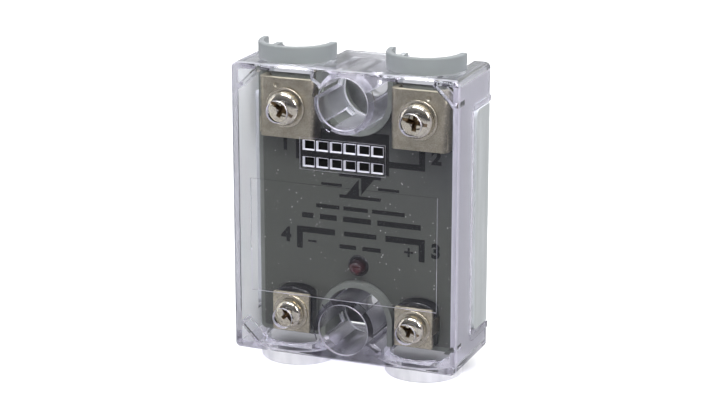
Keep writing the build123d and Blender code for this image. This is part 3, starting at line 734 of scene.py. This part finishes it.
# ---- glossy black mouldings on the face ---------------------------------------
def make_insulator(number, material):
    """The block behind an input plate, with its visible edge rounded over."""
    node = f"input_insulator_{number}"
    front_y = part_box(node)[0][1]
    screw_low, screw_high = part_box(f"terminal_screw_{number}")
    axis = [(screw_low[index] + screw_high[index]) / 2 for index in range(3)]
    builder = welded_copy(frame["nodes"][node].data)
    rim = []
    for edge in builder.edges:
        middle = (edge.verts[0].co + edge.verts[1].co) / 2
        at_front = all(vertex.co.y - front_y < 0.01 * MM for vertex in edge.verts)
        reach = max(abs(middle.x - axis[0]), abs(middle.z - axis[2]))
        is_corner = len(edge.link_faces) == 2 and edge.calc_face_angle() > 1.0
        if at_front and is_corner and reach > INSULATOR_RIM_REACH * MM:
            rim.append(edge)
    bmesh.ops.bevel(builder, geom=rim, offset=INSULATOR_ROUND * MM, segments=6, profile=0.5,
                    affect="EDGES", clamp_overlap=True)
    for face in builder.faces:
        face.smooth = True
    mesh = bpy.data.meshes.new(f"glossy_block_{number}")
    builder.to_mesh(mesh)
    builder.free()
    block = new_object(f"glossy_block_{number}", mesh, "relay", material)
    level = block.modifiers.new("flatness", "WEIGHTED_NORMAL")
    level.weight = 90
    apply_modifiers(block)
    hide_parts(node)


def make_lamp(material):
    """The status lamp with a full dome."""
    low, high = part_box("status_led")
    label_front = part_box("face_label")[0][1]
    radius = LAMP_RADIUS
    back = (high[1] - label_front) / MM
    profile = [(radius * math.sin(math.pi / 2 * step / DOME_STEPS),
                -LAMP_REACH + radius * (1 - math.cos(math.pi / 2 * step / DOME_STEPS)))
               for step in range(DOME_STEPS + 1)]
    profile += [(radius, back), (0.0, back)]
    mesh = revolve(profile)
    for face in mesh.polygons:
        face.use_smooth = True
    mesh.set_sharp_from_angle(angle=math.radians(50))
    for vertex in mesh.vertices:
        vertex.co += Vector(((low[0] + high[0]) / 2, label_front, (low[2] + high[2]) / 2))
    lamp = new_object("lamp_lens", mesh, "relay", material)
    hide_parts("status_led")


def make_lamp_collar(material):
    """Low glossy ring of resin round the status lamp."""
    low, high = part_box("status_led")
    label_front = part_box("face_label")[0][1]
    outline = []
    for step in range(COLLAR_STEPS + 1):
        angle = math.pi * step / COLLAR_STEPS
        middle = (COLLAR_INNER + COLLAR_OUTER) / 2
        half = (COLLAR_OUTER - COLLAR_INNER) / 2
        outline.append((middle + half * math.cos(angle), -COLLAR_HEIGHT * math.sin(angle)))
    builder = bmesh.new()
    centre = ((low[0] + high[0]) / 2, label_front - INK_GAP * MM, (low[2] + high[2]) / 2)
    rings = []
    for turn in range(SCREW_SEGMENTS):
        angle = 2 * math.pi * turn / SCREW_SEGMENTS
        rings.append([builder.verts.new((centre[0] + radius * MM * math.cos(angle),
                                         centre[1] + depth * MM,
                                         centre[2] + radius * MM * math.sin(angle)))
                      for radius, depth in outline])
    for turn, ring in enumerate(rings):
        following = rings[(turn + 1) % SCREW_SEGMENTS]
        for step in range(len(outline)):
            after = (step + 1) % len(outline)
            builder.faces.new((ring[step], ring[after], following[after], following[step]))
    bmesh.ops.recalc_face_normals(builder, faces=builder.faces)
    for face in builder.faces:
        face.smooth = True
    mesh = bpy.data.meshes.new("lamp_collar")
    builder.to_mesh(mesh)
    builder.free()
    mesh.set_sharp_from_angle(angle=math.radians(50))
    new_object("lamp_collar", mesh, "relay", material)


# ---- printing on the label, and the vent grid's painted shadow ----------------
class LabelPrint:
    """Flat inked shapes that lie on the film, collected into one mesh."""

    def __init__(self):
        self.mesh = bmesh.new()
        self.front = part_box("face_label")[0][1] - INK_GAP * MM

    def polygon(self, points):
        """Ink bounded by points given as (x, z) in millimetres, counter-clockwise."""
        rings = []
        for depth in (0.0, INK_THICKNESS):
            y = self.front - depth * MM
            rings.append([self.mesh.verts.new(((x + PRINT_SHIFT_X) * MM, y, z * MM))
                          for x, z in points])
        back, front = rings
        self.mesh.faces.new(front)
        self.mesh.faces.new(reversed(back))
        for index in range(len(points)):
            after = (index + 1) % len(points)
            self.mesh.faces.new((back[index], back[after], front[after], front[index]))

    def bar(self, x0, x1, z0, z1):
        self.polygon([(x0, z0), (x1, z0), (x1, z1), (x0, z1)])

    def stroke(self, start, end, width):
        """Straight line with square ends."""
        a, b = Vector(start), Vector(end)
        side = (b - a).orthogonal().normalized() * width / 2
        self.polygon([tuple(a - side), tuple(b - side), tuple(b + side), tuple(a + side)])

    def finish(self, name, material):
        """Make one piece of everything inked so far."""
        bmesh.ops.recalc_face_normals(self.mesh, faces=self.mesh.faces)
        mesh = bpy.data.meshes.new(name)
        self.mesh.to_mesh(mesh)
        self.mesh.free()
        new_object(name, mesh, "relay", material)


def print_brackets(ink):
    """Corner brackets that lead from the numbers to the middle of the label."""
    for side in (-1, 1):
        for corner_z, way, reach, arm_end in ((9.3, 1, 5.0, GRID_SHADOW_RIGHT_X),
                                              (-5.2, -1, 4.8, 5.6)):
            outer, inner = side * BRACKET_X, side * (BRACKET_X - BRACKET_STROKE)
            low, high = sorted((corner_z, corner_z + way * reach))
            ink.bar(min(outer, inner), max(outer, inner), low, high)
            low, high = sorted((corner_z, corner_z + way * BRACKET_STROKE))
            ink.bar(min(side * arm_end, inner), max(side * arm_end, inner), low, high)


def print_signs(ink):
    """Minus and plus by the input terminals."""
    half, stroke = SIGN_SIZE / 2, SIGN_STROKE
    for x in (-SIGN_X, SIGN_X):
        ink.stroke((x - half, SIGN_Z), (x + half, SIGN_Z), stroke)
    for way in (-1, 1):
        ink.stroke((SIGN_X, SIGN_Z + way * stroke / 2), (SIGN_X, SIGN_Z + way * half), stroke)


def print_symbol(ink):
    """A triac symbol: two opposed triangles between two plates, with leads."""
    middle_z, half_height, half_width = 4.5, 2.0, 3.0
    for way in (-1, 1):
        tip = (way * 0.15, middle_z + way * half_height)
        base = middle_z - way * half_height
        shape = [(tip[0] + way * half_width, tip[1]),
                 (tip[0] + way * 0.1, base + way * 0.35), (tip[0] + way * 0.1, tip[1])]
        ink.polygon(shape if way > 0 else shape[::-1])
        ink.bar(-4.6, 4.6, middle_z + way * (half_height + 0.3) - 0.35,
                middle_z + way * (half_height + 0.3) + 0.35)
        ink.stroke((way * 4.0, middle_z), (way * 8.6, middle_z), 0.6)


def paint_grid_shadow(ink):
    """Painted shadow of the cover's vent grid: a solid dark sheet of ink on the film."""
    ink.bar(GRID_SHADOW_LEFT_X, GRID_SHADOW_RIGHT_X, GRID_SHADOW_BOTTOM_Z, GRID_SHADOW_TOP_Z)


def print_rules(ink):
    """Plain bars where a data plate has its lines of text."""
    rows = (
        (-0.38, 0.85, ((-9.8, -4.6), (-3.7, 1.7), (2.6, 9.8))),
        (-2.72, 1.15, ((-13.0, -10.4), (-9.0, -5.2), (-3.8, 2.4), (3.8, 13.3))),
        (-5.85, 1.05, ((-3.6, 3.6),)),
        (-8.65, 0.9, ((-4.6, -0.9), (0.5, 4.6))),
    )
    for middle, height, words in rows:
        for left, right in words:
            ink.bar(left, right, middle - height / 2, middle + height / 2)


def print_number(text, x, z, ink_front, material):
    """One terminal number, as raised ink."""
    curve = bpy.data.curves.new(f"number_{text}", "FONT")
    curve.body = text
    curve.align_x = "CENTER"
    curve.align_y = "CENTER"
    curve.size = NUMBER_HEIGHT * FONT_SIZE_PER_HEIGHT * MM
    curve.offset = NUMBER_BOLDNESS * MM
    curve.extrude = INK_THICKNESS * MM / 2
    holder = bpy.data.objects.new(f"number_{text}_outline", curve)
    mesh = bpy.data.meshes.new_from_object(holder)
    bpy.data.objects.remove(holder)
    middle_y = ink_front - INK_THICKNESS * MM / 2
    for vertex in mesh.vertices:
        across, up, out = vertex.co
        vertex.co = (across + (x + PRINT_SHIFT_X) * MM, middle_y - out, up + z * MM)
    mesh.materials.clear()
    new_object(f"terminal_number_{text}", mesh, "relay", material)


def make_label_print():
    """Everything printed on the film, and the vent grid's painted shadow: no lettering but the
    terminal numbers.
    """
    material = label_ink()
    ink = LabelPrint()
    ink_front = ink.front
    print_brackets(ink)
    print_signs(ink)
    print_symbol(ink)
    # painted shadow of the vent grid, as a dark sheet of ink
    paint_grid_shadow(ink)
    print_rules(ink)
    ink.finish("label_print_and_grid_shadow", material)
    print_number("1", -NUMBER_X, OUTPUT_NUMBER_Z, ink_front, material)
    print_number("2", NUMBER_X, OUTPUT_NUMBER_Z, ink_front, material)
    print_number("4", -NUMBER_X, INPUT_NUMBER_Z, ink_front, material)
    print_number("3", NUMBER_X, INPUT_NUMBER_Z, ink_front, material)


# ---- studio -------------------------------------------------------------------
def make_floor():
    """Large pale floor, just under the relay's hoods.

    It is white to look at, and a softer grey to the light that it throws back, as a
    grey card would be that keeps clear plastic from washing out.
    """
    mesh = bpy.data.meshes.new("floor")
    builder = bmesh.new()
    bmesh.ops.create_grid(builder, x_segments=1, y_segments=1, size=3.0)
    builder.to_mesh(mesh)
    builder.free()
    floor = bpy.data.objects.new("floor", mesh)
    floor.location.z = CAD_BOX[0][2] - FLOOR_GAP
    bpy.context.scene.collection.objects.link(floor)
    shader = Shader("floor_paper", Specular_IOR_Level=0.1)
    path = shader.nodes.new("ShaderNodeLightPath")
    paper = shader.blend(shader.noise(40.0), (0.88, 0.88, 0.88), (0.91, 0.91, 0.91))
    shader.colour(shader.blend(path.outputs["Is Camera Ray"], (0.34, 0.34, 0.35), paper))
    shader.gloss(shader.noise(5.0), 0.7, 0.85)
    mesh.materials.append(shader.material)


def add_softbox(name, location, size, power, target=(0.0, -0.01, 0.0)):
    """White rectangular lamp, turned towards a place."""
    light = bpy.data.lights.new(name, "AREA")
    light.shape = "RECTANGLE"
    light.size, light.size_y = size
    light.energy = power
    obj = bpy.data.objects.new(name, light)
    obj.location = location
    obj.visible_camera = False
    bpy.context.scene.collection.objects.link(obj)
    aim(obj, Vector(target))


def make_world():
    """Soft room light: brighter overhead and behind the relay, dim in front of it."""
    world = bpy.data.worlds.new("studio")
    world.use_nodes = True
    bpy.context.scene.world = world
    nodes, links = world.node_tree.nodes, world.node_tree.links
    direction = nodes.new("ShaderNodeTexCoord")
    split = nodes.new("ShaderNodeSeparateXYZ")
    links.new(direction.outputs["Generated"], split.inputs["Vector"])
    parts = []
    for axis, low, high, dim, painted_lit_plate in (("Y", -0.75, 0.6, 0.07, 0.60),
                                         ("Z", 0.05, 0.9, 0.0, 0.35)):
        node = nodes.new("ShaderNodeMapRange")
        node.interpolation_type = "SMOOTHSTEP"
        for name, value in (("From Min", low), ("From Max", high),
                            ("To Min", dim), ("To Max", painted_lit_plate)):
            node.inputs[name].default_value = value
        links.new(split.outputs[axis], node.inputs["Value"])
        parts.append(node.outputs["Result"])
    total = nodes.new("ShaderNodeMath")
    for socket, part in zip(total.inputs, parts):
        links.new(part, socket)
    room = nodes["Background"]
    room.inputs["Color"].default_value = (0.95, 0.97, 1.0, 1.0)
    links.new(total.outputs["Value"], room.inputs["Strength"])
    white = nodes.new("ShaderNodeBackground")
    white.inputs["Color"].default_value = (1.0, 1.0, 1.0, 1.0)
    path = nodes.new("ShaderNodeLightPath")
    mix = nodes.new("ShaderNodeMixShader")
    links.new(path.outputs["Is Camera Ray"], mix.inputs[0])
    links.new(room.outputs[0], mix.inputs[1])
    links.new(white.outputs[0], mix.inputs[2])
    links.new(mix.outputs[0], nodes["World Output"].inputs["Surface"])


def make_camera():
    """Long lens from the right and above."""
    azimuth, elevation = math.radians(CAMERA_AZIMUTH), math.radians(CAMERA_ELEVATION)
    back = Vector((math.sin(azimuth) * math.cos(elevation),
                   -math.cos(azimuth) * math.cos(elevation), math.sin(elevation)))
    data = bpy.data.cameras.new("camera")
    data.sensor_width = SENSOR_WIDTH
    data.lens = CAMERA_LENS
    data.clip_start = 0.01
    camera = bpy.data.objects.new("camera", data)
    camera.location = CAMERA_TARGET + back * CAMERA_DISTANCE
    bpy.context.scene.collection.objects.link(camera)
    aim(camera, CAMERA_TARGET)
    bpy.context.scene.camera = camera


def make_studio():
    """Camera, floor, room light and four soft lamps."""
    make_camera()
    make_floor()
    make_world()
    bpy.context.scene.view_settings.view_transform = "Standard"
    add_softbox("softbox_top", (-0.02, -0.28, 0.46), (0.42, 0.20), 2.6)
    add_softbox("softbox_right", (0.44, -0.30, 0.30), (0.16, 0.26), 1.6)
    add_softbox("softbox_left", (-0.55, -0.15, 0.12), (0.35, 0.35), 0.6)
    add_softbox("softbox_back", (0.0, 0.45, 0.60), (0.9, 0.5), 4.0,
                target=(0.0, 0.15, -0.03))


# ---- the scene ----------------------------------------------------------------
materials = make_materials()
dress_nodes(materials)
make_label_print()
make_cover(materials["clear_plastic"])
make_screws(materials)
make_plates(materials)
make_lamp(materials["led_red"])
make_lamp_collar(materials["black_insulator"])
for number in (3, 4):
    make_insulator(number, materials["black_insulator"])
make_studio()
